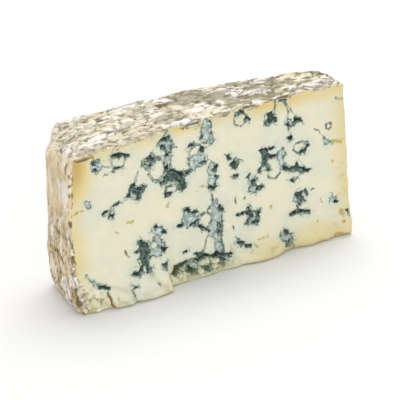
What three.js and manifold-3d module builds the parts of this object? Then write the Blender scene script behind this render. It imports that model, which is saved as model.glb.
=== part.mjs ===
// A wedge of gorgonzola, cut from half a wheel: one solid piece of blue-veined paste with
// the natural rind still on its curved end and its top.
//
// Millimetres, +Z up. The long cut face looks toward -Y, the rind end is at -X and the blunt
// nose, which was nearest the middle of the wheel, is at +X. The wedge rests on the level cut
// that halved the wheel. The origin is on that resting face, at the middle of the footprint.
//
// Inside this file a place on the cheese is given as
//   along  from the rind end (0) to the nose (CUT_LENGTH),
//   deep   from the long cut face (0) to the back cut,
//   up     from the resting face (0) to the top rind (HEIGHT).

import * as THREE from 'three';
import { mergeVertices } from 'three/addons/utils/BufferGeometryUtils.js';
import Module from 'manifold-3d';

// ---------------------------------------------------------------- driving dimensions

const CUT_LENGTH = 150; // long cut face, rind to nose
const HEIGHT = 82; // half the height of the wheel
const RIND_END_DEPTH = 40; // between the two long cuts, at the rind
const NOSE_DEPTH = 18; // between the two long cuts, at the nose
const WHEEL_RADIUS = 150; // curve of the rind end, seen from above
const BACK_BOW = 4; // the wire drifted: the back cut bows out this far
const NOSE_SLANT = 3; // the nose cut runs back toward the rind by this much

const CROWN = 2; // doming of the top rind
const CROWN_AT_FRONT = 0.4; // share of the doming that the long cut face shows
const CROWN_RISE = 0.6; // share of the depth over which the rest of it comes on
const RIND_BULGE = 2.4; // barrel shape of the rind end
const TOP_RIM_RADIUS = 8; // rind end to top rind
const BOTTOM_RIM_RADIUS = 3; // rind end to resting face
const NOSE_RIM_RADIUS = 4; // nose to top rind
const BACK_RIND_RADIUS = 12; // worn corner between the rind end and the back cut
const BACK_NOSE_RADIUS = 5; // nose to back cut
const BACK_RIM_RADIUS = 2.5; // back cut to top rind
const CUT_EDGE_RADIUS = 1; // long cut face to everything round it

const CUT_UNEVENNESS = 0.35; // waviness that the wire leaves
const RIND_UNEVENNESS = 0.6; // lumps in the rind
const RIND_GRAIN = 2; // the lumps are this much longer along the wedge than across it

const STEPS_ALONG = 38;
const STEPS_DEEP = 9;
const STEPS_UP = 20;
const CROWDING = 0.6; // how much closer the steps stand near the edges

// What sagged, broke and crumbled along the lower edge of the long cut face. Each entry moves
// the face out (or, below zero, in) by `out` over the stretch from..to, coming on over
// `fadeIn` and going over `fadeOut`, between the heights `low` and `high`.
const LOWER_EDGE = [
  { name: 'sagging foot', from: -6, to: 49, fadeIn: 44, fadeOut: 4, low: 0, high: 22, out: 4.6 },
  { name: 'crumbled corner', from: 0, to: 15, fadeIn: 6, fadeOut: 6, low: 1, high: 13, out: -1.6 },
  { name: 'round lump', from: 27, to: 49, fadeIn: 8, fadeOut: 4, low: 0, high: 12, out: 1.8 },
  { name: 'broken hollow', from: 47, to: 87, fadeIn: 5, fadeOut: 9, low: 1, high: 13, out: -4.4 },
  { name: 'ragged lump', from: 90, to: 113, fadeIn: 8, fadeOut: 6, low: 0, high: 10, out: 2.4 },
  { name: 'nick', from: 112, to: 120, fadeIn: 4, fadeOut: 4, low: 0, high: 9, out: -1.2 },
  { name: 'long lump', from: 119, to: 141, fadeIn: 8, fadeOut: 6, low: 0, high: 10, out: 1.4 },
  { name: 'nose lump', from: 141, to: 156, fadeIn: 4, fadeOut: 4, low: 0, high: 16, out: 1.8 },
];

// The crack that opened in the lower corner by the rind.
const CRACK = { along: 16.5, top: 13.5, width: 1.6, depth: 4, lean: -1.6 };

// The larger holes where the blue mould grew: half width, half height, and how far the hole
// leans from upright, in degrees.
const POCKET_DEPTH = 2.6;
const POCKET_ARMS = 5; // a hole ends in this many arms, between the curds round it
const POCKET_PINCH = 0.22; // how deep the bays between the arms are
const POCKETS = [
  { along: 55, up: 58, halfWidth: 4.0, halfHeight: 3.4, lean: 20 },
  { along: 36, up: 23, halfWidth: 3.0, halfHeight: 5.6, lean: 18 },
  { along: 34, up: 57, halfWidth: 3.8, halfHeight: 2.2, lean: -10 },
  { along: 60, up: 33, halfWidth: 3.6, halfHeight: 3.6, lean: 0 },
  { along: 76, up: 25, halfWidth: 2.2, halfHeight: 5.0, lean: 10 },
  { along: 74, up: 75, halfWidth: 2.0, halfHeight: 3.4, lean: 12 },
  { along: 104, up: 54, halfWidth: 2.4, halfHeight: 4.0, lean: 8 },
  { along: 109, up: 73, halfWidth: 2.4, halfHeight: 2.2, lean: 0 },
  { along: 121, up: 43, halfWidth: 6.6, halfHeight: 1.5, lean: -16 },
  { along: 97, up: 43, halfWidth: 2.4, halfHeight: 2.4, lean: 0 },
  { along: 95, up: 26, halfWidth: 3.8, halfHeight: 2.6, lean: 30 },
  { along: 123, up: 28, halfWidth: 2.6, halfHeight: 3.8, lean: 0 },
  { along: 114, up: 9, halfWidth: 2.2, halfHeight: 3.4, lean: 15 },
  { along: 88, up: 55, halfWidth: 2.0, halfHeight: 2.0, lean: 0 },
];
const NOSE_POCKETS = [
  { deep: 9, up: 62, halfWidth: 2.4, halfHeight: 3.2 },
  { deep: 7, up: 36, halfWidth: 3.0, halfHeight: 2.0 },
  { deep: 11, up: 18, halfWidth: 2.0, halfHeight: 3.0 },
];

// ---------------------------------------------------------------- shaping functions

const { lerp, clamp, smoothstep, degToRad } = THREE.MathUtils;

// Moves evenly spaced steps of 0..1 closer together near both ends.
function crowdEnds(t) {
  return t - CROWDING * Math.sin(2 * Math.PI * t) / (2 * Math.PI);
}

// A soft unevenness between -1 and 1: three waves that never come back into step.
function ripple(a, b) {
  return (Math.sin(a * 0.31 + b * 0.17) + Math.sin(b * 0.37 - a * 0.13 + 2)
    + Math.sin(a * 0.71 + b * 0.53 + 4)) / 3;
}

// 1 over the middle of a stretch, coming on smoothly at one end and going at the other.
function stretch(value, from, to, fadeIn, fadeOut) {
  return smoothstep(value, from, from + fadeIn) * (1 - smoothstep(value, to - fadeOut, to));
}

// Turns the square corner at (cornerX, cornerY) into a round one. The signs tell which way
// the body lies from the corner. Points further away than the radius stay where they are.
function roundCorner(x, y, cornerX, cornerY, signX, signY, radius) {
  const outX = radius - (x - cornerX) * signX;
  const outY = radius - (y - cornerY) * signY;
  if (outX <= 0 || outY <= 0) return [x, y];
  const shrink = Math.max(outX, outY) / Math.hypot(outX, outY);
  const centreX = cornerX + signX * radius;
  const centreY = cornerY + signY * radius;
  return [centreX - signX * outX * shrink, centreY - signY * outY * shrink];
}

// Distance between the two long cuts.
function depthAt(along) {
  const t = clamp(along / CUT_LENGTH, 0, 1);
  return lerp(RIND_END_DEPTH, NOSE_DEPTH, t) + BACK_BOW * Math.sin(Math.PI * t);
}

// How far the curved end of the wheel draws back from the front corner.
function rindSetback(deep) {
  return WHEEL_RADIUS - Math.sqrt(WHEEL_RADIUS ** 2 - deep ** 2);
}

function longCutRelief(along, up) {
  let out = CUT_UNEVENNESS * ripple(along, up);
  for (const feature of LOWER_EDGE) {
    const { from, to, fadeIn, fadeOut, low, high } = feature;
    const middle = (low + high) / 2;
    const comesOn = low > 0 ? smoothstep(up, low, middle) : 1;
    const goes = 1 - smoothstep(up, middle, high);
    out += feature.out * stretch(along, from, to, fadeIn, fadeOut) * comesOn * goes;
  }
  return out;
}

function rindEndRelief(deep, up) {
  const t = clamp(up / HEIGHT, 0, 1);
  const barrel = RIND_BULGE * Math.sin(Math.PI * t);
  const lumps = RIND_UNEVENNESS * ripple(deep * RIND_GRAIN, up) * Math.sin(Math.PI * t);
  return barrel + lumps;
}

function topRelief(along, deep) {
  const dome = Math.sin(Math.PI * clamp(along / CUT_LENGTH, 0, 1));
  const towardBack = smoothstep(deep, 0, depthAt(along) * CROWN_RISE);
  const crown = CROWN * dome * lerp(CROWN_AT_FRONT, 1, towardBack);
  return crown + RIND_UNEVENNESS * ripple(along, deep * RIND_GRAIN);
}

// Carries a point of the unit block (a along, b deep, c up, each 0..1) onto the wedge.
function placeOnWedge(a, b, c) {
  let along = CUT_LENGTH * crowdEnds(a);
  const backDepth = depthAt(along);
  let deep = backDepth * crowdEnds(b);
  let up = HEIGHT * crowdEnds(c);

  [along, up] = roundCorner(along, up, 0, HEIGHT, 1, -1, TOP_RIM_RADIUS);
  [along, up] = roundCorner(along, up, 0, 0, 1, 1, BOTTOM_RIM_RADIUS);
  [along, up] = roundCorner(along, up, CUT_LENGTH, HEIGHT, -1, -1, NOSE_RIM_RADIUS);
  [deep, up] = roundCorner(deep, up, backDepth, HEIGHT, -1, -1, BACK_RIM_RADIUS);
  [deep, up] = roundCorner(deep, up, 0, HEIGHT, 1, -1, CUT_EDGE_RADIUS);
  [along, deep] = roundCorner(along, deep, 0, 0, 1, 1, CUT_EDGE_RADIUS);
  [along, deep] = roundCorner(along, deep, CUT_LENGTH, 0, -1, 1, CUT_EDGE_RADIUS);
  [along, deep] = roundCorner(along, deep, 0, backDepth, 1, -1, BACK_RIND_RADIUS);
  [along, deep] = roundCorner(along, deep, CUT_LENGTH, backDepth, -1, -1, BACK_NOSE_RADIUS);

  // Each face is moved by its own relief, and the inside is stretched to follow it.
  const front = -longCutRelief(along, up);
  const back = backDepth + CUT_UNEVENNESS * ripple(up, along);
  const rind = rindSetback(deep) - rindEndRelief(deep, up);
  const nose = CUT_LENGTH - NOSE_SLANT * deep / NOSE_DEPTH + CUT_UNEVENNESS * ripple(deep, up);
  const top = HEIGHT + topRelief(along, deep);
  return new THREE.Vector3(
    lerp(rind, nose, along / CUT_LENGTH),
    lerp(front, back, deep / backDepth),
    lerp(0, top, up / HEIGHT),
  );
}

// ---------------------------------------------------------------- solids and cuts

const library = await Module();
library.setup();

function toSolid(geometry) {
  const bare = geometry.clone();
  bare.deleteAttribute('normal');
  bare.deleteAttribute('uv');
  const welded = mergeVertices(bare);
  return new library.Manifold(new library.Mesh({
    numProp: 3,
    vertProperties: Float32Array.from(welded.attributes.position.array),
    triVerts: Uint32Array.from(welded.index.array),
  }));
}

function toGeometry(solid) {
  const mesh = solid.getMesh();
  const geometry = new THREE.BufferGeometry();
  geometry.setAttribute('position', new THREE.BufferAttribute(mesh.vertProperties, 3));
  geometry.setIndex(new THREE.BufferAttribute(mesh.triVerts, 1));
  geometry.computeVertexNormals();
  return geometry;
}

// The wedge before its holes: a stepped block carried point by point onto the wedge.
function wedgeBody() {
  const block = new THREE.BoxGeometry(1, 1, 1, STEPS_ALONG, STEPS_DEEP, STEPS_UP);
  const corners = block.attributes.position;
  const point = new THREE.Vector3();
  for (let i = 0; i < corners.count; i += 1) {
    point.fromBufferAttribute(corners, i).addScalar(0.5);
    const placed = placeOnWedge(point.x, point.y, point.z);
    corners.setXYZ(i, placed.x, placed.y, placed.z);
  }
  return toSolid(block);
}

// A mould hole: a ball pinched all round, so that it ends in arms between the curds.
function pocketCutter(halfWidth, depth, halfHeight, turn) {
  const ball = new THREE.IcosahedronGeometry(1, 1);
  const corners = ball.attributes.position;
  const point = new THREE.Vector3();
  for (let i = 0; i < corners.count; i += 1) {
    point.fromBufferAttribute(corners, i);
    const round = Math.atan2(point.z, point.x);
    const pinch = 1 + POCKET_PINCH * Math.cos(POCKET_ARMS * round + turn);
    corners.setXYZ(i, point.x * halfWidth * pinch, point.y * depth, point.z * halfHeight * pinch);
  }
  return ball;
}

function longCutPockets() {
  return POCKETS.map((pocket, index) => {
    const cutter = pocketCutter(pocket.halfWidth, POCKET_DEPTH, pocket.halfHeight, index);
    cutter.rotateY(degToRad(pocket.lean));
    cutter.translate(pocket.along, 0, pocket.up);
    return cutter;
  });
}

// The veins run through the paste, so the back cut opens the same kind of holes.
function backCutPockets() {
  return POCKETS.map((pocket, index) => {
    const along = CUT_LENGTH - pocket.along;
    const cutter = pocketCutter(pocket.halfWidth, POCKET_DEPTH, pocket.halfHeight, index + 2);
    cutter.rotateY(degToRad(-pocket.lean));
    cutter.translate(along, depthAt(along), pocket.up);
    return cutter;
  });
}

function nosePockets() {
  return NOSE_POCKETS.map((pocket, index) => {
    const cutter = pocketCutter(pocket.halfWidth, POCKET_DEPTH, pocket.halfHeight, index);
    cutter.rotateZ(Math.PI / 2);
    cutter.translate(CUT_LENGTH - NOSE_SLANT * pocket.deep / NOSE_DEPTH, pocket.deep, pocket.up);
    return cutter;
  });
}

// A blade-shaped gap, open below, that leans as it rises and closes to nothing.
function crackCutter() {
  const left = CRACK.along - CRACK.width / 2;
  const right = CRACK.along + CRACK.width / 2;
  const tip = CRACK.along + CRACK.lean;
  const foot = -1;
  const outline = new THREE.Shape();
  outline.moveTo(left, foot);
  outline.lineTo(right, foot);
  outline.quadraticCurveTo(right, CRACK.top / 2, tip, CRACK.top);
  outline.quadraticCurveTo(left, CRACK.top / 2, left, foot);
  const blade = new THREE.ExtrudeGeometry(outline, {
    depth: 2 * CRACK.depth,
    bevelEnabled: false,
    curveSegments: 4,
  });
  blade.rotateX(Math.PI / 2);
  blade.translate(0, CRACK.depth, 0);
  return blade;
}

function wedgeGeometry() {
  let solid = wedgeBody();
  const cutters = [...longCutPockets(), ...backCutPockets(), ...nosePockets(), crackCutter()];
  for (const cutter of cutters) solid = solid.subtract(toSolid(cutter));
  const geometry = toGeometry(solid);
  geometry.computeBoundingBox();
  const box = geometry.boundingBox;
  geometry.translate(-(box.min.x + box.max.x) / 2, -(box.min.y + box.max.y) / 2, -box.min.z);
  return geometry;
}

// ---------------------------------------------------------------- the cheese

const pasteMaterial = new THREE.MeshStandardMaterial({
  color: 0xe4e1c9,
  roughness: 0.6,
  metalness: 0,
});

const cheeseWedge = new THREE.Mesh(wedgeGeometry(), pasteMaterial);
cheeseWedge.name = 'cheese_wedge';

const gorgonzolaWedge = new THREE.Group();
gorgonzolaWedge.name = 'gorgonzola_wedge';
gorgonzolaWedge.add(cheeseWedge);

export default gorgonzolaWedge;
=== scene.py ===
import math
import random

import bmesh
import bpy
import numpy as np
from mathutils import Matrix, Vector, noise


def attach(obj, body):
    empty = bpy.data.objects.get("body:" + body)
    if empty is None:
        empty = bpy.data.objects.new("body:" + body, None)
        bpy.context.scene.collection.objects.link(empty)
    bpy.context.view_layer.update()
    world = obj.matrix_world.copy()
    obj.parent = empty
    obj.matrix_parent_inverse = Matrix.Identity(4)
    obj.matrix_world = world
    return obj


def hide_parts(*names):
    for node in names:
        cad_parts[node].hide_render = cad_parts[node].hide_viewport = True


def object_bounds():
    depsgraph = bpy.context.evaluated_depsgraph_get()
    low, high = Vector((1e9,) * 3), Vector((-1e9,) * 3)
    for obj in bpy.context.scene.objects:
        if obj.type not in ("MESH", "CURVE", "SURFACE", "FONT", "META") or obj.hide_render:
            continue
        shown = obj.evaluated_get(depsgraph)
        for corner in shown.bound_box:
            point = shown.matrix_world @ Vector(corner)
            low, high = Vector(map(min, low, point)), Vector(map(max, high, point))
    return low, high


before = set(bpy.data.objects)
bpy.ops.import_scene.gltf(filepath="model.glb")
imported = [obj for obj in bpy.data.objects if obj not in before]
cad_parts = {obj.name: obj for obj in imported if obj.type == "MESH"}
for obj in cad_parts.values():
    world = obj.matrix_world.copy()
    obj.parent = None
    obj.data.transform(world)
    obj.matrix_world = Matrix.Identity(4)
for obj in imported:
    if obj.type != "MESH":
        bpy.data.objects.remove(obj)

cad_low, cad_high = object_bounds()


# ------------------------------------------------------------------ the block of cheese
# A half-height gorgonzola wheel, sawn into a blunt-nosed wedge with a wire: one long cut
# runs through the middle of the wheel, the other beside it, and a short third cut takes
# the tip off. The rind is left on the outside and the top. Lengths here are millimetres.

MM = 0.001
WHEEL_RADIUS = 150
HEIGHT = 82
CUT_LENGTH = 150
RIND_END_DEPTH = 40
NOSE_DEPTH = 18
NOSE_SLANT = 3
FOOT_REACH = 6.25
RIND_REACH = 2.55
TOP_RIM_RADIUS = 8
BOTTOM_RIM_RADIUS = 3
NOSE_RIM_RADIUS = 4
BACK_NOSE_RADIUS = 5
BACK_RIND_RADIUS = 12
MESH_STEP = 0.7
TOUCHING = 0.1

# The corner where the long cut face meets the rind, on the resting face.
corner = Vector((cad_low.x + RIND_REACH * MM, cad_low.y + FOOT_REACH * MM, cad_low.z))


def on_wedge(along, deep, up):
    """A place on the wedge, in metres in the shared frame."""
    return corner + Vector((along, deep, up)) * MM


def select_edges(test):
    """Selects the edges of the piece in edit mode whose two ends both pass the test."""
    sketch = bmesh.from_edit_mesh(bpy.context.object.data)
    for edge in sketch.edges:
        ends = [(v.co - corner) / MM for v in edge.verts]
        edge.select_set(all(test(*end) for end in ends))
    bmesh.update_edit_mesh(bpy.context.object.data)


bpy.ops.object.select_all(action="DESELECT")
bpy.ops.mesh.primitive_cylinder_add(
    vertices=360,
    radius=WHEEL_RADIUS * MM,
    depth=HEIGHT * MM,
    location=on_wedge(WHEEL_RADIUS, 0, HEIGHT / 2),
)
cheese = bpy.context.object
cheese.name = "gorgonzola_wedge"
bpy.ops.object.transform_apply(location=True, rotation=True, scale=True)

bpy.ops.object.mode_set(mode="EDIT")
bpy.ops.mesh.select_mode(type="EDGE")
select_edges(lambda along, deep, up: up > HEIGHT - TOUCHING)
bpy.ops.mesh.bevel(offset=TOP_RIM_RADIUS * MM, segments=8, affect="EDGES")
select_edges(lambda along, deep, up: up < TOUCHING)
bpy.ops.mesh.bevel(offset=BOTTOM_RIM_RADIUS * MM, segments=4, affect="EDGES")

# The three wire cuts, each a place on the plane and the way it faces out (along, deep, up).
# The back cut starts where the rind's arc is as deep as the rind end.
arc_at_back = WHEEL_RADIUS - math.sqrt(WHEEL_RADIUS**2 - RIND_END_DEPTH**2)
back_start = Vector((arc_at_back, RIND_END_DEPTH))
back_run = Vector((CUT_LENGTH, NOSE_DEPTH)) - back_start
wire_cuts = [
    (on_wedge(0, 0, 0), (0, -1, 0)),
    (on_wedge(back_start.x, back_start.y, 0), (-back_run.y, back_run.x, 0)),
    (on_wedge(CUT_LENGTH, 0, 0), (NOSE_DEPTH, NOSE_SLANT, 0)),
]
for place, outward in wire_cuts:
    bpy.ops.mesh.select_all(action="SELECT")
    normal = Vector(outward).normalized()
    bpy.ops.mesh.bisect(plane_co=place, plane_no=normal, use_fill=True, clear_outer=True)


def on_back_cut(along, deep):
    return abs((Vector((along, deep)) - back_start).cross(back_run.normalized())) < TOUCHING


def on_nose_cut(along, deep):
    return abs(along - CUT_LENGTH + NOSE_SLANT * deep / NOSE_DEPTH) < TOUCHING


select_edges(lambda along, deep, up: on_nose_cut(along, deep) and on_back_cut(along, deep))
bpy.ops.mesh.bevel(offset=BACK_NOSE_RADIUS * MM, segments=5, affect="EDGES")
select_edges(lambda along, deep, up: on_nose_cut(along, deep) and up > HEIGHT - TOUCHING)
bpy.ops.mesh.bevel(offset=NOSE_RIM_RADIUS * MM, segments=5, affect="EDGES")
bpy.ops.mesh.select_all(action="SELECT")
bpy.ops.mesh.normals_make_consistent(inside=False)
bpy.ops.object.mode_set(mode="OBJECT")

even = cheese.modifiers.new("even mesh", "REMESH")
even.mode = "VOXEL"
even.voxel_size = MESH_STEP * MM
bpy.ops.object.modifier_apply(modifier=even.name)

# From here the block is worked like a model in clay: every point has its place along, deep
# and up in millimetres, and the way that it faces.
point_count = len(cheese.data.vertices)
flat = np.empty(point_count * 3, dtype=np.float32)
cheese.data.vertices.foreach_get("co", flat)
block = (flat.reshape(-1, 3).astype(float) - np.array(corner)) / MM
cheese.data.vertices.foreach_get("normal", flat)
facing = flat.reshape(-1, 3).astype(float).copy()
along, deep, up = block.T


def smooth(value, start, end):
    """0 at start, 1 at end, with soft ends."""
    t = np.clip((value - start) / (end - start), 0, 1)
    return t * t * (3 - 2 * t)


def bumps(size, salt, places=None):
    """Soft noise about -1..1 whose bumps are `size` millimetres, one size or one per axis."""
    spots = (block if places is None else places) / np.array(size, dtype=float) + salt
    return np.array([noise.noise(spot) for spot in spots.tolist()])


def broken_cells(size, salt, places=None):
    """Cells like broken curd or cracked crust, `size` millimetres across, one size or one per
    axis: how far each point is inside its cell (0 on a crack), and a number 0..1 per cell."""
    spots = (block if places is None else places) / np.array(size, dtype=float) + salt
    found = [noise.voronoi(spot) for spot in spots.tolist()]
    inside = np.array([distances[1] - distances[0] for distances, centres in found])
    middles = np.array([centres[0] for distances, centres in found])
    # Uneven factors scatter the numbers, so that neighbours differ.
    number = np.abs(np.sin(middles @ (12.99, 78.23, 37.72)) * 4375.85) % 1
    return inside, number


looks_front = smooth(-facing[:, 1], 0.3, 0.9)
looks_down = smooth(-facing[:, 2], 0.3, 0.9)


# ------------------------------------------------------------------ sag and breakage
# The soft paste has sagged into a foot, and its lower edge broke and crumbled when the
# wedge was cut. The rind domes on top and bulges like a barrel at the end.

BACK_BOW = 4
CROWN = 1.9
RIM_DROP = 3.6
RIND_BULGE = 2.4
LOW_CORNER_RADIUS = 5
ROLL_UNDER = 2.2
CURD_SIZE = 4.6
CURDS_STAND_OUT = 4.0
CURD_GAP_DEPTH = 0.6
TOP_WAVE = 0.5
LOWER_EDGE = [
    # from, to, fade in, fade out, bottom, top, soft, out
    (-6, 49, 34, 3, -11, 22, 11, 4.4),  # sagging foot
    (0, 15, 5, 5, 1, 12, 4, -2.2),  # crumbled corner
    (14, 29, 3, 3, -6, 10, 6, 1.6),  # short lump beside the crack
    (28, 49, 4, 5, -6, 13, 8, 1.8),  # round lump
    (46, 88, 8, 8, 0.5, 11.5, 2.2, -4.4),  # broken-out hollow
    (90, 113, 8, 6, -5, 10, 5, 2.2),  # ragged lump
    (112, 120, 4, 4, -4, 9, 4, -1.4),  # nick
    (119, 141, 8, 6, -5, 10, 5, 1.3),  # long lump
    (141, 156, 4, 4, -8, 16, 8, 1.6),  # lump at the nose
]

wander = bumps(9, 3.1) * 1.6
wandered = block + np.stack([wander, wander, -wander], axis=1)
curd_inside, curd_number = broken_cells(CURD_SIZE, 5.3, wandered)
curd_gap = smooth(-curd_inside, -0.22, -0.03)
jag = 4 * (curd_number - 0.5)
edge_out = np.zeros(point_count)
broken = np.zeros(point_count)
for start, stop, fade_in, fade_out, bottom, top, soft, out in LOWER_EDGE:
    torn = jag if out < 0 else 0
    share = smooth(along + wander + torn, start, start + fade_in)
    share *= 1 - smooth(along + wander + torn, stop - fade_out, stop)
    share *= smooth(up + wander * 0.6, bottom, bottom + soft)
    share *= 1 - smooth(up + wander * 0.6 + torn, top - soft, top)
    edge_out += out * share
    if out < 0:
        broken = np.maximum(broken, share)
broken *= looks_front

# Where the paste broke off, whole curds stand proud with open gaps between them.
proud_curds = CURDS_STAND_OUT * curd_number * smooth(curd_inside, 0, 0.3)
edge_out += broken * (proud_curds - CURD_GAP_DEPTH * curd_gap)

# The foot is soft, so its lowest edge rolls under.
roll_height = np.clip(ROLL_UNDER - up, 0, ROLL_UNDER)
roll = ROLL_UNDER - np.sqrt(ROLL_UNDER**2 - roll_height**2)
edge_out -= roll * smooth(along, 3, 14)

back_depth = back_start.y + (along - back_start.x) / back_run.x * back_run.y
share_along = np.clip(along / CUT_LENGTH, 0, 1)
share_deep = np.clip(deep / back_depth, 0, 1)
share_up = np.clip(up / HEIGHT, 0, 1)

# The worn corner between rind end and back cut: the square corner is drawn in to a round
# one, rounder at the top than at the foot.
worn = BACK_RIND_RADIUS - (BACK_RIND_RADIUS - LOW_CORNER_RADIUS) * smooth(share_up, 0.6, 0.1)
out_along = worn - (along - back_start.x * share_deep)
out_deep = worn - (back_depth - deep)
in_corner = (out_along > 0) & (out_deep > 0)
longest = np.maximum(out_along, out_deep)
span = np.hypot(out_along, out_deep)
draw_in = np.where(in_corner, 1 - longest / np.where(in_corner, span, 1), 0)

shaped = block.copy()
shaped[:, 0] += out_along * draw_in * in_corner
shaped[:, 1] -= out_deep * draw_in * in_corner
dome = np.sin(np.pi * share_along) * (0.4 + 0.6 * smooth(share_deep, 0, 0.6))
top_wave = TOP_WAVE * bumps((26, 12, 40), 7.7)
shaped[:, 2] += share_up * (CROWN * dome + top_wave)
shaped[:, 2] -= RIM_DROP * share_up**4 * smooth(along, 18, 2) * smooth(deep, 4, 26)
barrel = RIND_BULGE * np.sin(np.pi * share_up**0.55)
shaped[:, 0] -= (1 - share_along) * barrel
bow = BACK_BOW * np.sin(np.pi * share_along)
shaped[:, 1] += share_deep * bow - (1 - share_deep) * edge_out


# ------------------------------------------------------------------ the blue veins
# Penicillium mould grows in the gaps between curd grains and in needle holes: dark, sunken
# pockets, patches of blue-grey mould, and thin seams round grains. A stroke is a half width
# and the places (along, up) that it runs through, on the paste inside the lip of rind.

HOLES = [
    (2.7, (52.5, 60), (57.5, 57)), (1.7, (58, 56), (58.8, 52)), (1.0, (47.5, 57), (51, 58)),
    (0.9, (61, 57.5), (63, 58.6)), (1.1, (50.6, 64), (51.5, 61)), (0.9, (50.5, 50.2), (52, 50)),
    (2.7, (36.5, 26), (37, 21)), (1.3, (35, 29.6), (36, 26)), (1.6, (37, 19), (37.2, 15)),
    (0.8, (32, 25), (34.5, 24)), (0.8, (29.5, 15), (31, 14.8), (34.5, 17.5)),
    (1.7, (32, 57.6), (36, 55.6)), (0.9, (33, 60.4), (33, 58)), (0.9, (34.3, 53), (35, 54.5)),
    (0.7, (29.2, 56), (31, 56)), (0.8, (37.4, 57.6), (37.2, 55.5)),
    (1.1, (22, 78.3), (26, 78), (29, 77)), (0.8, (23, 71.5), (26, 71)),
    (1.6, (41.5, 71.6), (43, 70.3)), (0.8, (39, 69), (40.5, 68)), (0.8, (42, 67), (43, 67.5)),
    (1.3, (49, 79), (52, 78.6)), (0.8, (48.2, 75.5), (48.5, 74)), (0.8, (52, 71), (51, 70.5)),
    (1.5, (86.8, 55.6), (87.6, 54)), (0.9, (87, 49.5), (88, 49.3)), (0.6, (84.5, 59.6), (86, 58)),
    (2.2, (108.2, 74.6), (109.2, 72.8)), (0.9, (106.3, 72), (107.5, 72.4)),
    (0.8, (111, 71.2), (110.5, 72.6)), (2.1, (103.8, 57.5), (104.3, 54.5)),
    (1.7, (104.5, 53), (103.8, 50.8)), (0.9, (101, 48.6), (102.6, 49.6)),
    (0.7, (107, 58), (109.3, 58.5)), (0.8, (106.5, 53.5), (110, 53.6)),
    (0.6, (105.2, 50.5), (106, 46.5)), (1.2, (117.5, 43.8), (121.5, 43.4), (124, 42.6)),
    (0.8, (114.6, 46), (117.5, 43.9)), (0.8, (124, 42.6), (127.5, 40.8)),
    (0.9, (121.6, 45.4), (122, 43.5)), (0.8, (118.6, 38), (119.6, 37.6)),
    (1.3, (97.3, 43.2), (97.6, 42)), (1.0, (99.5, 38.8), (101, 39.6)),
    (0.7, (94.2, 46.6), (95.5, 47.4)), (1.5, (94.5, 27.2), (95.5, 25.5)),
    (0.9, (92, 22.8), (93, 23.6)), (1.2, (95.5, 21.5), (97.5, 22)), (0.9, (98.6, 26.6), (99, 24)),
    (0.8, (87.6, 28.2), (91, 28)), (0.6, (93.4, 30.4), (93.8, 28.6)),
    (1.7, (121.5, 29.3), (123, 27)), (1.0, (123.5, 26), (123, 24.3)),
    (0.8, (126, 30.3), (126.3, 28.2)), (0.8, (116.5, 20.3), (121, 20.5), (124, 19.3)),
    (1.0, (124, 19.3), (127, 18.3)), (0.6, (121, 23), (121, 21)), (1.1, (87.5, 13.5), (89, 12)),
    (1.1, (91, 10.8), (93.5, 10)), (1.2, (113.4, 11.8), (113.8, 10.8)),
    (0.9, (114.5, 5.8), (114, 4)), (1.0, (60.4, 38.6), (62, 37.6)), (0.8, (64, 37), (65, 36.4)),
    (0.9, (55.3, 32), (57, 31.8)), (1.0, (63, 30.6), (65.5, 31.4)),
    (1.0, (67.5, 28), (68.7, 27.3)), (1.2, (78, 35.5), (79.5, 34)),
    (1.0, (77.4, 26.5), (77.7, 22)), (0.8, (71, 25.5), (72.5, 24.4)), (0.9, (74, 47), (76, 46)),
    (0.8, (76.8, 51.8), (77.3, 50.5)), (0.8, (76.8, 57), (77, 55)),
    (1.0, (70, 61.4), (71.5, 60.6)), (0.9, (70, 68.5), (70.2, 67)), (0.8, (63, 71.5), (65, 71.8)),
    (1.0, (122, 69), (124.5, 68.3)), (0.8, (118, 67.5), (118.6, 66)),
    (1.1, (115.5, 82), (117, 80.8)), (1.0, (91.5, 81.6), (93, 80.6)),
    (0.9, (94.6, 76.6), (95.8, 76.3)), (0.9, (46, 15.6), (47.5, 14)),
    (0.8, (46.8, 31.3), (48.5, 31)), (0.7, (43.3, 35.2), (43.8, 34)),
    (0.8, (47, 22.3), (47.8, 22)), (0.5, (27.2, 9.8), (28, 9.4)), (1.0, (64.5, 14.6), (66, 13.4)),
    (0.7, (57.5, 16.8), (59, 17.8)), (0.8, (119, 60.3), (119.3, 59.4)),
    (0.7, (128, 54), (127.6, 53)), (0.8, (124.8, 51.8), (126.2, 51.6)),
    (0.7, (141.8, 20.2), (142.4, 19.4)), (0.8, (148.6, 13.6), (149.4, 12)),
    (0.8, (20, 47.5), (21, 46.8)), (0.8, (22.5, 53), (24.5, 53.2)),
    (0.6, (16.5, 50.2), (18, 50.2)), (0.8, (12, 13.5), (15, 12)), (1.0, (11.8, 78), (12.6, 77)),
    (0.9, (12, 74), (12.8, 73.6)), (1.2, (61, 5.5), (63.5, 4)), (1.1, (78, 6.5), (80, 5)),
    (1.0, (53, 6), (57, 8.6), (60, 9.6)), (1.0, (66, 11.2), (71, 11), (77, 9.6), (83, 7.6)),
]
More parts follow.
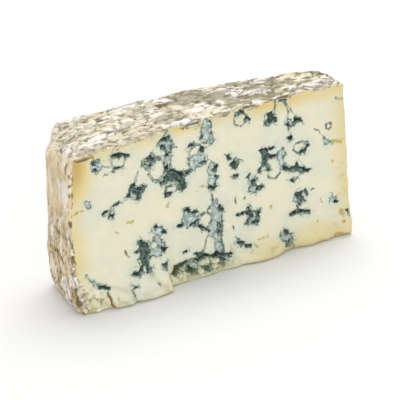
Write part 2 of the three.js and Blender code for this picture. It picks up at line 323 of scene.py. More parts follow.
MOULD = [
    (2.2, (12.5, 77.5), (13.5, 75.5)), (2.3, (42.3, 71.5), (43, 70)),
    (1.3, (51.7, 77), (51.7, 64)), (2.0, (51, 79.5), (49, 77)), (2.7, (32.5, 57.2), (36, 56.2)),
    (3.0, (66, 63), (68.6, 62.4)), (1.5, (70, 68), (68.5, 65)), (1.3, (64.5, 60.5), (62, 58)),
    (2.6, (73, 79), (73, 74.5)), (1.6, (75, 72.6), (75.6, 71.4)), (1.9, (75, 57), (75, 54.5)),
    (1.6, (75, 52), (75, 47)), (3.0, (60.5, 34), (62.5, 33)), (1.5, (60, 38), (60.5, 36)),
    (2.2, (75, 37.5), (77, 32.5)), (3.1, (74.3, 24), (76, 23.4)), (2.0, (77, 32), (77.2, 25)),
    (1.3, (75.6, 20), (76, 11)), (1.8, (45.6, 32), (43.6, 33)),
    (1.1, (43.6, 29), (46.6, 25), (44, 20.6), (41, 22)), (1.1, (20.6, 51.6), (20.6, 48)),
    (1.1, (7.6, 57.4), (8.4, 56.8)), (1.5, (107, 72.2), (108, 71.6)),
    (2.0, (113.4, 53.4), (113.6, 52.4)), (1.3, (113.5, 50), (114, 46.5)),
    (1.9, (98, 44.5), (96.6, 41)), (1.6, (97, 40), (99, 39)), (3.0, (95, 25), (96, 23.6)),
    (1.4, (94, 29.4), (94, 28)), (2.4, (121.8, 28.6), (122.6, 26.6)),
    (2.1, (112.6, 9.4), (114.4, 8.4)), (1.3, (114.3, 7), (114.4, 4)),
    (1.2, (122.6, 69.4), (124, 68)), (0.4, (118.4, 70), (120.5, 66.4)),
    (1.0, (90.4, 81), (93, 80.4)), (1.1, (87.4, 57), (88.2, 55)), (1.0, (120, 38.6), (120, 37.6)),
    (1.0, (139, 53.8), (139.4, 52.4)), (1.0, (140, 22.6), (141.6, 20.6)),
    (1.1, (9, 15.4), (13, 13.4)), (1.4, (46, 15.2), (47, 14.4)), (1.6, (61.5, 8), (64, 7)),
    (1.4, (70, 5), (71.5, 3.6)), (1.2, (80.6, 6), (82, 5)),
]
SEAMS = [
    (0.35, (42, 64), (42, 61), (45, 58.5), (47, 57.6)), (0.3, (45, 70.6), (50.5, 70.7)),
    (0.35, (66, 34), (68.6, 35.2), (71, 35.3), (73, 36.4)),
    (0.4, (111, 75), (112, 80), (110.5, 84)), (0.35, (50.4, 77), (50.2, 64)),
    (0.35, (53, 77), (53.2, 66), (52.4, 62)), (0.4, (74.4, 45), (74.4, 38)),
    (0.4, (75, 20), (75, 12), (76, 9)), (0.5, (78.2, 21), (78.6, 15), (79, 9.6)),
    (0.5, (79.3, 33), (78.6, 22)), (0.35, (71.5, 22), (69, 16.5), (66.5, 13.6)),
    (0.3, (14, 76), (17, 74.6), (20, 73.6)), (0.3, (16.6, 70.3), (19.4, 70.2)),
    (0.4, (35, 66.6), (34.4, 64), (33.4, 61)), (0.3, (26.6, 27.6), (27, 25.6), (28.6, 23.4)),
    (0.3, (133, 61.6), (136.6, 57.6), (139, 54)), (0.35, (145.6, 75), (149.6, 73.4)),
    (0.3, (87.4, 39), (87, 34)), (0.4, (92.6, 36.6), (91.8, 35.4)),
    (0.4, (89.6, 57.4), (92.6, 55.6)), (0.3, (82, 61.4), (84.6, 60)),
    (0.4, (99.4, 26.6), (101, 28)), (0.4, (85, 23), (85.6, 20.6)), (0.4, (86.6, 17), (88.4, 14)),
    (0.3, (54.4, 75), (55.4, 73.4), (57, 73)), (0.4, (50, 55), (54, 53.6), (57, 50.8)),
    (0.35, (39.6, 29), (40.4, 26)), (0.25, (27.9, 9.6), (26.8, 6.8), (28.1, 3.2), (28.9, 0)),
    (0.35, (40, 8), (40.8, 6.8)), (0.4, (6, 20.4), (8, 17), (10.4, 14.4)),
    (0.4, (66, 62.6), (62, 65.6)),
    (0.3, (106, 48), (105.8, 43), (109.4, 41), (112.4, 44), (113, 48)),
    (0.3, (129.4, 30.2), (131, 30)),
    (0.35, (116.6, 80.6), (118.2, 76), (118, 70), (120.4, 66.2), (123.4, 69), (120.4, 75), (118.8, 77)),
]
# Single curd grains with a seam all round them: middle, half width, half height.
RINGED_GRAINS = [
    (25.2, 74.8, 3.6, 3.7), (91.5, 77.4, 3.5, 3.8), (66.5, 68, 3.6, 3.2), (70.2, 30.6, 4, 4.4),
    (43.4, 25, 2.9, 3.6), (141, 61, 1.7, 1.9), (113.5, 53.2, 2.3, 2.2), (124.2, 54.2, 3.9, 2.7),
    (75.2, 56, 2.2, 2.4), (75, 49.4, 2, 2.6), (53, 52.4, 3.4, 2.2), (45.4, 64.8, 4.6, 5.6),
    (51.3, 74.2, 2.2, 3), (40.4, 69.2, 2.8, 3.4), (72.2, 73.8, 2.6, 3.2),
]
OLIVE_SPOTS = [
    (1.0, (28.6, 41.4), (31, 41)), (0.7, (22, 38.2), (24.6, 38)), (0.7, (0, 54.4), (4.6, 54.6)),
    (0.7, (50, 43.4), (51, 45)), (0.8, (68, 49.2), (70, 48.8)), (0.6, (66, 47.4), (66.4, 46.6)),
    (0.8, (141, 42.4), (142, 41.6)), (0.9, (106, 27.8), (106.6, 26.4)),
    (0.7, (96, 8.8), (97.4, 8)), (1.3, (145.4, 14), (145.4, 12.8)),
    (0.9, (145.3, 9.4), (145.2, 7.8)), (0.7, (141, 52.4), (147.6, 50.6)),
    (0.5, (18.6, 6.6), (18.4, 4.6)), (1.2, (141, 2), (144.6, 1.6)), (0.6, (131, 12), (131.6, 11)),
    (0.6, (134, 23.6), (134.6, 21.6)), (0.6, (99, 12), (103, 12.6)), (0.8, (66, 79.6), (69, 80.6)),
    (1.0, (7, 81), (10.6, 81.4)),
]
# Soft folds between the lumps that the sagging foot has parted into.
FOLDS = [
    (0.2, (37.8, 12), (41.4, 7.3), (45.7, 0.9)), (0.2, (26.6, 6.9), (27.6, 1.1)),
    (0.2, (5.5, 19.5), (11, 15), (18.3, 11.2), (26.6, 7)), (0.2, (9.9, 5.6), (14, 1.7)),
]

dice = random.Random(41)


def ring_stroke(middle_x, middle_y, half_width, half_height, half_line=0.42, corners=9):
    """A closed stroke round one curd grain."""
    turns = [2 * math.pi * k / corners for k in range(corners + 1)]
    spots = [(middle_x + half_width * math.cos(t), middle_y + half_height * math.sin(t)) for t in turns]
    return (half_line, *spots)


def grown_veins(width, height, clusters):
    """Pockets, mould patches and seams for a cut that is `width` by `height` millimetres."""
    holes, mould, seams = [], [], []
    for _ in range(clusters):
        x = dice.uniform(0.04, 0.96) * width
        y = dice.uniform(0.08, 0.94) * height
        size = dice.choice([0.5, 0.6, 0.8, 0.9, 1.2, 1.5, 2.2])
        lean = dice.uniform(0, math.pi)
        dx = math.cos(lean) * size * 1.1
        dy = math.sin(lean) * size * 1.1
        holes.append((size, (x - dx, y - dy), (x + dx, y + dy)))
        mould.append((size * dice.uniform(0.7, 1.6), (x + dy, y - dx), (x - dx * 1.5, y + dy * 1.5)))
        for _ in range(dice.randint(1, 4)):
            turn = dice.uniform(0, 2 * math.pi)
            reach = dice.uniform(2.5, 7)
            end = (x + math.cos(turn) * reach, y + math.sin(turn) * reach)
            bend = (x + math.cos(turn + 0.5) * reach * 0.6, y + math.sin(turn + 0.5) * reach * 0.6)
            seams.append((dice.uniform(0.3, 0.5), (x, y), bend, end))
            if dice.random() < 0.6:
                holes.append((dice.uniform(0.6, 1.0), end, (end[0] + 0.8, end[1] + 0.5)))
        if dice.random() < 0.25:
            side = dice.choice([-1, 1])
            seams.append(ring_stroke(x + side * (size + 3), y, 3.4, 3.2))
    return holes, mould, seams


def stroke_distance(x, y, strokes):
    """Millimetres from each place to the edge of the nearest stroke, below zero inside it."""
    nearest = np.full(len(x), np.inf)
    for half_width, *spots in strokes:
        for (x0, y0), (x1, y1) in zip(spots, spots[1:]):
            run = np.array([x1 - x0, y1 - y0])
            share = ((x - x0) * run[0] + (y - y0) * run[1]) / (run @ run)
            share = np.clip(share, 0, 1)
            gap = np.hypot(x - x0 - share * run[0], y - y0 - share * run[1]) - half_width
            nearest = np.minimum(nearest, gap)
    return nearest


# Ragged outlines: places are looked up a little beside where they are.
STRAY = 0.8
FINE_STRAY = 0.7
beside_x = STRAY * bumps(4.5, 11.3) + FINE_STRAY * bumps(1.9, 15.9)
beside_y = STRAY * bumps(4.5, 19.7) + FINE_STRAY * bumps(1.9, 23.3)
FRONT, BACK, NOSE, BASE, TOP, RIND_END = range(6)


def nearest_face(ways):
    """Which of the block's six faces each way looks out of."""
    x, y, z = ways.T
    return np.argmax(np.stack([-y, y, x + 0.02, -z, z, -x]), axis=0)


face_of_point = nearest_face(facing)

# The lip of rind narrows from the rind end to the nose, and the veins lie inside it: toward
# the top they are drawn in from both ends, and from the top they are pressed down.
LIP_AT_RIND_END = 2.7
LIP_AT_NOSE = 0.8
LIP_BESIDE = 2.1
BOTH_ENDS = 1.55
lip_height = LIP_AT_RIND_END + (LIP_AT_NOSE - LIP_AT_RIND_END) * share_along
paste_up = up * HEIGHT / (HEIGHT - lip_height)
paste_along = along - LIP_BESIDE * share_up * (1 - BOTH_ENDS * share_along)

front_seams = SEAMS + [ring_stroke(*grain) for grain in RINGED_GRAINS]
cuts = {
    FRONT: (paste_along, paste_up, (HOLES, MOULD, front_seams)),
    BACK: (along, up, grown_veins(CUT_LENGTH, HEIGHT, 46)),
    NOSE: (deep, up, grown_veins(NOSE_DEPTH, HEIGHT, 9)),
    BASE: (along, deep, grown_veins(CUT_LENGTH, RIND_END_DEPTH, 22)),
}
OVERHANG = 1.3
OUT_OF_REACH = 9.0
blank = np.full((6, point_count), OUT_OF_REACH)
hole_mm, mould_mm, seam_mm, olive_mm, fold_mm, above_mm = blank
for face, (x, y, strokes) in cuts.items():
    here = face_of_point == face
    x_here = (x + beside_x)[here]
    y_here = (y + beside_y)[here]
    for field, kind in zip((hole_mm, mould_mm, seam_mm), strokes):
        field[here] = stroke_distance(x_here, y_here, kind)
    above_mm[here] = stroke_distance(x_here, y_here + OVERHANG, strokes[0])
here = face_of_point == FRONT
x_here = (paste_along + beside_x)[here]
y_here = (paste_up + beside_y)[here]
olive_mm[here] = stroke_distance(x_here, y_here, OLIVE_SPOTS)
fold_mm[here] = stroke_distance(x_here, y_here, FOLDS)
fold = smooth(-fold_mm, -1.6, 0) * (0.7 + 0.4 * bumps(5, 97.1))
# How far each point lies under a pocket's upper edge: the finish paints shade there.
hole_top_shade = smooth(above_mm, -0.9, 0.7)


# ------------------------------------------------------------------ where the rind begins
# The rind is 2 to 3 mm of dried, washed and brushed crust. Over the top edge of the long
# cut it hangs in small scallops, and low on the rind end it folds round onto the cut.

SCALLOP = 2.4
FINE_SCALLOP = 0.8
END_LIP = 0.4
LOW_FOLD = 3.4
BASE_LIP = 2.2
DEEP_IN_RIND = 3.0
CREASE_DEPTH = 0.6
PLATE_STEP = 0.35
BLOOM_THICKNESS = 0.25

lip_noise = bumps((7, 9, 7), 31.1)
fine_lip = bumps(2.4, 37.7)
top_lip = lip_height + SCALLOP * lip_noise + FINE_SCALLOP * fine_lip
low_fold = LOW_FOLD * smooth(up, 26, 9) * smooth(up, -6, 5) + 0.7 * smooth(up, 40, 24)
end_lip = END_LIP + LIP_BESIDE * smooth(share_up, 0.5, 1) + low_fold
end_lip += 0.8 * lip_noise + 0.4 * fine_lip
from_top = top_lip - (HEIGHT - up)
from_end = end_lip - along + back_start.x * share_deep
base_lip = BASE_LIP + 0.8 * lip_noise
rind_mm = np.select(
    [face_of_point == FRONT, face_of_point == BACK, face_of_point == NOSE, face_of_point == BASE],
    [
        np.maximum(from_top, from_end),
        np.maximum(from_top, from_end + 1),
        from_top,
        base_lip - along + back_start.x * share_deep,
    ],
    default=DEEP_IN_RIND,
)
near_front_top = (face_of_point == TOP) & (deep < 3)
rind_mm[near_front_top] = np.minimum(DEEP_IN_RIND, top_lip + deep + 0.3)[near_front_top]
near_front_end = (face_of_point == RIND_END) & (deep < 3)
rind_mm[near_front_end] = np.minimum(DEEP_IN_RIND, end_lip + deep + 0.4)[near_front_end]
is_rind = smooth(rind_mm, -0.2, 0.5)

# What marks the crust, as soft egg shapes: middle (along, deep, up), then half sizes.
RIND_MARKS = {
    "bloom": [
        (10, 2, 82, 6, 3, 3), (67, 2, 83, 8, 5, 4), (124, 7, 84, 7, 4, 4), (8, 9, 82, 7, 3, 5),
        (134, 4, 83, 9, 3, 4), (56, 20, 84, 8, 3, 4), (-1, 6, 61, 5, 5, 9), (2, 12, 9, 6, 6, 8),
        (-1, 4, 42, 4, 2, 7), (0, 0, 33.8, 1.8, 1.8, 1.8), (0, 0, 26.4, 1.6, 1.6, 1.6),
        (1, 0, 20.9, 1.5, 1.5, 1.5), (6, 0, 3, 4, 2, 3),
    ],
    "grey": [
        (98, 8, 84, 15, 7, 5), (107, 24, 84, 13, 4, 5), (57, 9, 84, 8, 4, 5),
        (10, 19, 82, 9, 4, 5), (55, 30, 84, 10, 4, 5), (78, 20, 84, 9, 4, 5),
        (118, 12, 84, 12, 5, 5), (122, 22, 84, 12, 4, 5), (-2, 20, 30, 5, 6, 14),
        (3, 16, 16, 6, 5, 8),
    ],
    "plain": [
        (29, 5, 84, 10, 6, 5), (83, 8, 84, 8, 5, 5), (140, 10, 84, 8, 5, 5), (30, 14, 84, 9, 4, 5),
        (-2, 20, 60, 5, 8, 16),
    ],
    "brown": [
        (31, 25, 84, 3.5, 2.6, 3), (62, 21.6, 84, 5, 2, 3), (-1, 3.3, 76, 3, 1.2, 4.5),
        (0.5, 0, 7, 2.4, 2.4, 2.4), (66, 0, 80.5, 5, 1.6, 0.8), (8, 0, 78.6, 5, 1.5, 0.8),
        (95, 0, 81.4, 3, 1.6, 0.8), (116, 0, 81.6, 3, 1.6, 0.8), (0, 0, 72, 1.2, 1.2, 1.8),
        (0, 0, 67, 1.6, 1.6, 1.2), (0, -0.5, 62.6, 1.0, 1.4, 1.4), (0, 0, 48, 1.5, 2, 1.9),
        (0, 0.5, 37, 1.2, 2, 2.2), (0, 0, 31, 1.7, 1.4, 1.4), (0, 0, 14.3, 1.6, 2, 1.5),
    ],
}
marks = {}
mark_noise = 0.22 * bumps(3.2, 41.9) + 0.14 * bumps(1.6, 42.3)
for kind, eggs in RIND_MARKS.items():
    how_far = [np.linalg.norm((block - egg[:3]) / egg[3:], axis=1) for egg in eggs]
    marks[kind] = smooth(1.15 - np.min(how_far, axis=0) + mark_noise, 0, 0.45)

# The crust is wrinkled and cracked into small plates, long ones that follow the wedge on
# top, and upright ones at the end that lean where the wheel's lower rim turns in.
upright = smooth(-facing[:, 0] - facing[:, 2], -0.25, 0.25)
lean = 0.45 * np.clip(30 - up, 0, 30) * upright
swirl = [2.6 * bumps(13, 43.1), 1.7 * bumps(11, 45.7) + lean, 2.2 * bumps(12, 47.9)]
crust_places = block + np.stack(swirl, axis=1)
top_inside, top_number = broken_cells((10, 5, 5), 53.3, crust_places)
end_inside, end_number = broken_cells((5, 4.6, 10), 59.1, crust_places)
top_folds = bumps((14, 5, 8), 61.7, crust_places) + 0.5 * bumps((6, 2.4, 5), 63.1, crust_places)
end_folds = bumps((6, 4.4, 15), 64.9, crust_places) + 0.5 * bumps((5, 2.2, 7), 65.3, crust_places)
inside = top_inside * (1 - upright) + end_inside * upright
plate = np.where(upright > 0.5, end_number, top_number)
folds = top_folds * (1 - upright) + end_folds * upright
crease = smooth(-inside, -0.16, -0.02) * smooth(bumps((6, 4, 6), 66.1), -0.4, 0.1)
wrinkle = smooth(-np.abs(folds + 0.4), -0.14, -0.02) * smooth(bumps(5, 66.7), -0.3, 0.1)
crease = np.maximum(crease, wrinkle)
crumpled = upright * smooth(up, 58, 28)
crease *= 1 + upright * (0.95 * crumpled - 0.65)
fold_height = 0.55 + upright * (0.35 * crumpled - 0.1)
rind_relief = fold_height * folds + PLATE_STEP * (plate - 0.5)
rind_relief += BLOOM_THICKNESS * marks["bloom"] - CREASE_DEPTH * crease


# ------------------------------------------------------------------ relief of the cuts
# The wire leaves the paste almost smooth, with faint drag waves, while the pockets are
# several millimetres deep and the mould and the seams lie just below the cut.

POCKET_DEPTH = 1.3
WIDE_POCKET_EXTRA = 2.2
MOULD_DEPTH = 0.45
SEAM_DEPTH = 0.35
CRACK_ALONG = 16.4
CRACK_LEAN = 0.09
CRACK_DEPTH = 2.8
SPLIT_UP = 51.8
SPLIT_DEPTH = 0.9

slow = bumps((22, 22, 9), 91.7)
pocket_depth = POCKET_DEPTH + WIDE_POCKET_EXTRA * smooth(-hole_mm, 0.4, 2.2)
pocket = smooth(-hole_mm, -0.1, 1.2) * pocket_depth
furred = MOULD_DEPTH * smooth(-mould_mm, -0.2, 0.8)
seamed = SEAM_DEPTH * smooth(-seam_mm, -0.35, 0.25)
grain_swell = 0.14 * bumps(6.5, 67.3) + 0.06 * bumps(2.2, 71.9)
crumbled = np.maximum(smooth(up + 2.5 * bumps(8, 73.7), 12, 5) * looks_front, broken)
nose_edge = smooth(along + 2 * slow, 139, 146) * smooth(up + 6 * slow, 56, 30)
crumbled = np.maximum(crumbled, nose_edge * 0.8)
crumble = crumbled * (0.9 * bumps((6, 4.4, 4.4), 79.1) + 0.45 * bumps(2.1, 83.9))
crack_run = np.abs(along + 0.5 * bumps(3, 89.3) - CRACK_ALONG + CRACK_LEAN * up)
crack = smooth(-crack_run, -0.8, -0.1) * smooth(up, 11, 8) * looks_front
split_run = np.abs(up + 0.6 * bumps(3, 90.1) - SPLIT_UP)
split = smooth(-split_run, -0.8, -0.1) * smooth(along, 138, 143) * looks_front
corner_crumbs = smooth(along + 2 * slow, 17, 12) * smooth(up + 2 * slow, 16, 9) * looks_front
paste_relief = grain_swell + crumble - np.maximum(pocket, np.maximum(furred, seamed))
paste_relief -= CRACK_DEPTH * crack + SPLIT_DEPTH * split + fold

relief = paste_relief * (1 - is_rind) + rind_relief * is_rind
relief *= 1 - looks_down * 0.85
shaped += facing * relief[:, None]

# The wedge rests on its base, and nothing reaches past the cut cheese's own size.
shaped[:, 2] = np.where(looks_down > 0.5, np.maximum(shaped[:, 2], 0), shaped[:, 2])
placed = shaped * MM + np.array(corner)
placed = np.clip(placed, np.array(cad_low), np.array(cad_high))
cheese.data.vertices.foreach_set("co", placed.astype(np.float32).ravel())

# Ripening starts under the rind: golden in the corner at the rind end, paler elsewhere.
below_top = HEIGHT - up
ripe_top = smooth(below_top, 10 + 3 * slow, 1) * (0.66 + 0.45 * slow)
ripe_end = smooth(along, 12 + 3 * slow, 0) * (0.5 + 0.2 * slow)
ripe_corner = smooth(np.hypot((along - 1) / 15, (below_top - 3) / 33), 1.1, 0.2)
ripe_nose = 0.5 * smooth(along, 136, 151)
ripe_low = 0.45 * smooth(up + 3 * slow, 15, 3) * smooth(along, 84, 104)
ripe_near = np.maximum.reduce([ripe_top, ripe_end, ripe_corner, ripe_nose, ripe_low])

# What the finish reads off each point.
painted = {
    "hole_mm": hole_mm,
    "mould_mm": mould_mm,
    "seam_mm": seam_mm,
    "olive_mm": olive_mm,
    "hole_top_shade": hole_top_shade,
    "broken": broken,
    "curd_gap": curd_gap,
    "crack": crack,
    "corner_crumbs": corner_crumbs,
    # Painted shade in the low places of the crumble and in the soft folds.
    "dip_shade": np.maximum(smooth(-crumble, 0.1, 0.55) * looks_front, 0.8 * fold),
    "up_share": share_up,
    # Painted shade along the lowest few millimetres of the front, where the foot rolls under.
    "foot": smooth(up + 0.4 * bumps(3, 95.3), 3.2, 0.2) * looks_front,
    "rind_mm": rind_mm,
    "crease": crease,
    "plate": plate,
    **marks,
    "upright": upright,
    "crumpled": crumpled,
    "ripe": np.clip(ripe_near, 0, 1),
    "along_share": share_along,
}
for name, values in painted.items():
    store = cheese.data.attributes.new(name, "FLOAT", "POINT")
    store.data.foreach_set("value", values.astype(np.float32))

# The block unfolds onto one flat sheet like a carton: for each face the ways that run right
# and up on the sheet, and where the block's own corner lies there in millimetres.
SHEET = 244
CHARTS = {
    FRONT: ((1, 0, 0), (0, 0, 1), (3, 3)),
    RIND_END: ((0, -1, 0), (0, 0, 1), (199, 3)),
    NOSE: ((0, 1, 0), (0, 0, 1), (204, 3)),
    BACK: ((-1, 0, 0), (0, 0, 1), (153, 90)),
    TOP: ((1, 0, 0), (0, 1, 0), (3, 177)),
    BASE: ((0, 1, 0), (1, 0, 0), (158, 90)),
}
polygons = cheese.data.polygons
loop_counts = np.empty(len(polygons), dtype=np.int32)
polygons.foreach_get("loop_total", loop_counts)
loop_points = np.empty(len(cheese.data.loops), dtype=np.int32)
cheese.data.loops.foreach_get("vertex_index", loop_points)
first_loops = np.cumsum(loop_counts) - loop_counts
polygon_facing = np.add.reduceat(facing[loop_points], first_loops) / loop_counts[:, None]
face_of_polygon = nearest_face(polygon_facing)
face_of_loop = np.repeat(face_of_polygon, loop_counts)
sheet_places = np.empty((len(loop_points), 2))
for face, (right, upward, start) in CHARTS.items():
    here = face_of_loop == face
    sheet_places[here] = block[loop_points[here]] @ np.array([right, upward]).T + start
unfolded = cheese.data.uv_layers.new(name="OFBake")
unfolded.data.foreach_set("uv", (sheet_places / SHEET).astype(np.float32).ravel())

polygons.foreach_set("use_smooth", np.ones(len(polygons), dtype=bool))
cheese.data.update()
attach(cheese, "root")
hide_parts("cheese_wedge")


# ------------------------------------------------------------------ finish of the cheese
# Fresh-cut blue cheese: a damp, faintly translucent cream paste that yellows toward the
# rind, blue-green mould that is dry and matt, and a brushed natural rind with white bloom.

def colour(hex_code):
    """An sRGB hex colour as the linear colour that a shader works in."""
    parts = [int(hex_code[k:k + 2], 16) / 255 for k in (1, 3, 5)]
    linear = [c / 12.92 if c <= 0.04045 else ((c + 0.055) / 1.055) ** 2.4 for c in parts]
    return (*linear, 1.0)


finish = bpy.data.materials.new("blue_cheese_paste_and_rind")
finish.use_nodes = True
tree = finish.node_tree
tree.nodes.clear()


def add(kind, *fed, **settings):
    """Adds a node and gives back its first output. `fed` fills its open inputs in order, and
    `settings` its inputs or properties by name; each is a value or another node's output."""
    node = tree.nodes.new("ShaderNode" + kind)
    by_name = {key: value for key, value in settings.items() if key.replace("_", " ") in node.inputs}
    for key in settings.keys() - by_name.keys():
        setattr(node, key, settings[key])
    open_inputs = [socket for socket in node.inputs if socket.enabled]
    wanted = list(zip(open_inputs, fed))
    wanted += [(node.inputs[key.replace("_", " ")], value) for key, value in by_name.items()]
    for socket, value in wanted:
        if isinstance(value, bpy.types.NodeSocket):
            tree.links.new(value, socket)
        else:
            socket.default_value = value
    return next((socket for socket in node.outputs if socket.enabled), None)


SOFTLY = {"interpolation_type": "SMOOTHSTEP"}
COLOURS = {"data_type": "RGBA"}

kept = {name: add("Attribute", attribute_name=name).node.outputs["Fac"] for name in painted}

# The patterns of the crust run a little wavy, and none lies straight along the block.
WAVE_LENGTH = 11
WAVE_REACH = 6
places = add("TexCoord").node.outputs["Object"]
wavy = add("TexNoise", places, Scale=1 / (WAVE_LENGTH * MM), Detail=2.0).node.outputs["Color"]
wavy = add("VectorMath", wavy, (0.5, 0.5, 0.5), operation="SUBTRACT")
wavy = add("VectorMath", wavy, (WAVE_REACH * MM,) * 3, places, operation="MULTIPLY_ADD")

# Soft noise: how many millimetres across, and how far it stretches along each axis. What
# stretches is crust, and is looked up at the wavy places.
SALT_STEP = 3.7
mottle = {}
for name, size, stretch in [
    ("fine", 0.8, (1, 1, 1)),
    ("ragged", 1.5, (1, 1, 1)),
    ("patchy", 2.8, (1, 1, 1)),
    ("tufts", 1.9, (1, 1, 1)),
    ("dashes", 2.4, (1, 1, 1)),
    ("arms", 3.6, (1, 1, 1)),
    ("clouds", 17, (1, 1, 1)),
    ("curds", 6, (1, 1, 1)),
    ("top streaks", 3.0, (3, 1, 1)),
    ("top patches", 7.0, (2.6, 1.4, 1)),
    ("top bloom", 7.0, (2.2, 1.4, 1)),
    ("end streaks", 2.8, (1, 1, 4)),
    ("end patches", 5.5, (1, 1, 2.6)),
    ("top threads", 1.2, (4.5, 1.9, 1)),
    ("end threads", 1.1, (1, 1.8, 6)),
    ("flecks", 1.3, (1, 1, 1)),
]:
    scale = [1 / (size * s * MM) for s in stretch]
    surface_places = wavy if max(stretch) > 1 else places
    salt = [SALT_STEP * len(mottle)] * 3
    spot = add("Mapping", surface_places, Location=salt, Scale=scale)
    mottle[name] = add("TexNoise", spot, Scale=1.0, Detail=3.0, Roughness=0.55)

# The net of gaps round the curd grains, bent so that nothing in it is straight.
CURD_GRAIN = 3.7
BEND_LENGTH = 4.5
BEND_REACH = 2.0
drift = add("TexNoise", places, Scale=1 / (BEND_LENGTH * MM), Detail=1.0).node.outputs["Color"]
bent = add("VectorMath", drift, (BEND_REACH * MM,) * 3, places, operation="MULTIPLY_ADD")
net = add("TexVoronoi", bent, Scale=1 / (CURD_GRAIN * MM), feature="DISTANCE_TO_EDGE")
line = add("MapRange", net, 0.2, 0.0, **SOFTLY)
arms_here = add("MapRange", mottle["arms"], 0.42, 0.58, **SOFTLY)
arm = add("Math", line, arms_here, operation="MULTIPLY")

ragged = add("MapRange", mottle["ragged"], 0.2, 0.8, -0.8, 0.8)
fine = add("MapRange", mottle["fine"], 0.2, 0.8, -0.5, 0.5)
edge = add("Math", ragged, fine, operation="ADD")
arm_reach = add("Math", arm, 0.7, operation="MULTIPLY")
ragged_reach = add("Math", edge, arm_reach, operation="SUBTRACT")
hole_edge = add("Math", kept["hole_mm"], ragged_reach, operation="ADD")
mould_edge = add("Math", kept["mould_mm"], ragged_reach, operation="ADD")
seam_edge = add("Math", edge, 0.35, kept["seam_mm"], operation="MULTIPLY_ADD")
nearest = add("Math", kept["hole_mm"], kept["mould_mm"], operation="MINIMUM")

# Paste: cream, a little greyer in clouds, tinted blue-green near the veins.
paste = add("Mix", add("MapRange", mottle["clouds"], 0.36, 0.64, **SOFTLY),
            colour("#e4dec5"), colour("#dadac6"), **COLOURS)
paste = add("Mix", add("MapRange", mottle["curds"], 0.5, 0.75, 0.0, 0.5, **SOFTLY),
            paste, colour("#e9e5d2"), **COLOURS)
riper_curds = add("MapRange", mottle["curds"], 0.1, 0.6, 0.75, 1.0)
ripe = add("Math", kept["ripe"], riper_curds, operation="MULTIPLY")
paste = add("Mix", add("MapRange", ripe, 0.0, 0.6), paste, colour("#dccb8e"), **COLOURS)
paste = add("Mix", add("MapRange", ripe, 0.55, 1.0, 0.0, 0.85), paste, colour("#c4a25a"), **COLOURS)
haze = add("MapRange", mottle["patchy"], 0.2, 0.8, -1.5, 1.5)
haze = add("Math", nearest, haze, operation="ADD")
haze = add("MapRange", haze, 4.5, 0.0, 0.0, 0.5, **SOFTLY)
paste = add("Mix", haze, paste, colour("#c9d2c2"), **COLOURS)

# Torn paste in the hollow is yellower and greener; in the dips of the crumble and the folds, and along
# the foot's lowest edge, painted shade darkens it to olive.
for tint_place, share, hex_code in [
    ("broken", 0.55, "#dcdcae"),
    ("dip_shade", 0.6, "#bdb68a"),
    ("foot", 0.5, "#b8ae78"),
]:
    tint_here = add("Math", kept[tint_place], share, operation="MULTIPLY")
    paste = add("Mix", tint_here, paste, colour(hex_code), **COLOURS)

# Veins: olive specks, broken seams, grey-green arms that creep along the net, furry mould
# in blue-grey and white with a dark edge in places, and holes with painted shade under their upper
# edge.
olive_edge = add("Math", kept["olive_mm"], edge, operation="ADD")
olive = add("Mix", add("MapRange", mottle["tufts"], 0.45, 0.6),
            colour("#b5ab4c"), colour("#b98a34"), **COLOURS)
veined = add("Mix", add("MapRange", olive_edge, 0.35, -0.6, 0.0, 0.85, **SOFTLY),
             paste, olive, **COLOURS)
dashed = add("MapRange", mottle["dashes"], 0.38, 0.56, 0.3, 0.95, **SOFTLY)
seam_here = add("MapRange", seam_edge, 0.5, -0.05, **SOFTLY)
seam_here = add("Math", seam_here, dashed, operation="MULTIPLY")
veined = add("Mix", seam_here, veined, colour("#536760"), **COLOURS)
creep = add("Math", add("Math", nearest, ragged, operation="ADD"),
            add("Math", arm, 1.7, operation="MULTIPLY"), operation="SUBTRACT")
veined = add("Mix", add("MapRange", creep, 0.9, -0.7, 0.0, 0.8, **SOFTLY),
             veined, colour("#788c80"), **COLOURS)
fur = add("Mix", add("MapRange", mottle["tufts"], 0.46, 0.66, **SOFTLY),
          colour("#d0dad5"), colour("#8da29b"), **COLOURS)
fur = add("Mix", add("MapRange", mottle["flecks"], 0.56, 0.7, 0.0, 0.55, **SOFTLY),
          fur, colour("#566c65"), **COLOURS)
fur = add("Mix", add("Math", line, 0.4, operation="MULTIPLY"), fur, colour("#4f645b"), **COLOURS)
mould_here = add("MapRange", mould_edge, 0.4, -0.6, 0.0, 0.95, **SOFTLY)
veined = add("Mix", mould_here, veined, fur, **COLOURS)
rim = add("MapRange", add("Math", mould_edge, operation="ABSOLUTE"), 0.6, 0.1, **SOFTLY)
dashed = add("MapRange", mottle["dashes"], 0.42, 0.56, 0.0, 0.95, **SOFTLY)
rim = add("Math", rim, dashed, operation="MULTIPLY")
veined = add("Mix", rim, veined, colour("#3a4e46"), **COLOURS)
hole_here = add("MapRange", hole_edge, 0.4, -0.5, **SOFTLY)
depth = add("Mix", add("MapRange", mottle["tufts"], 0.42, 0.6, **SOFTLY),
            colour("#44574f"), colour("#7b9087"), **COLOURS)
# Painted shade: the holes turn near-black under their upper edge, broken up by flecks.
flecked = add("MapRange", mottle["flecks"], 0.3, 0.6, -0.3, 0.3)
shade = add("Math", kept["hole_top_shade"], flecked, operation="ADD")
shade = add("MapRange", shade, 0.2, 0.9, 0.0, 0.93, **SOFTLY)
depth = add("Mix", shade, depth, colour("#16221d"), **COLOURS)
veined = add("Mix", hole_here, veined, depth, **COLOURS)

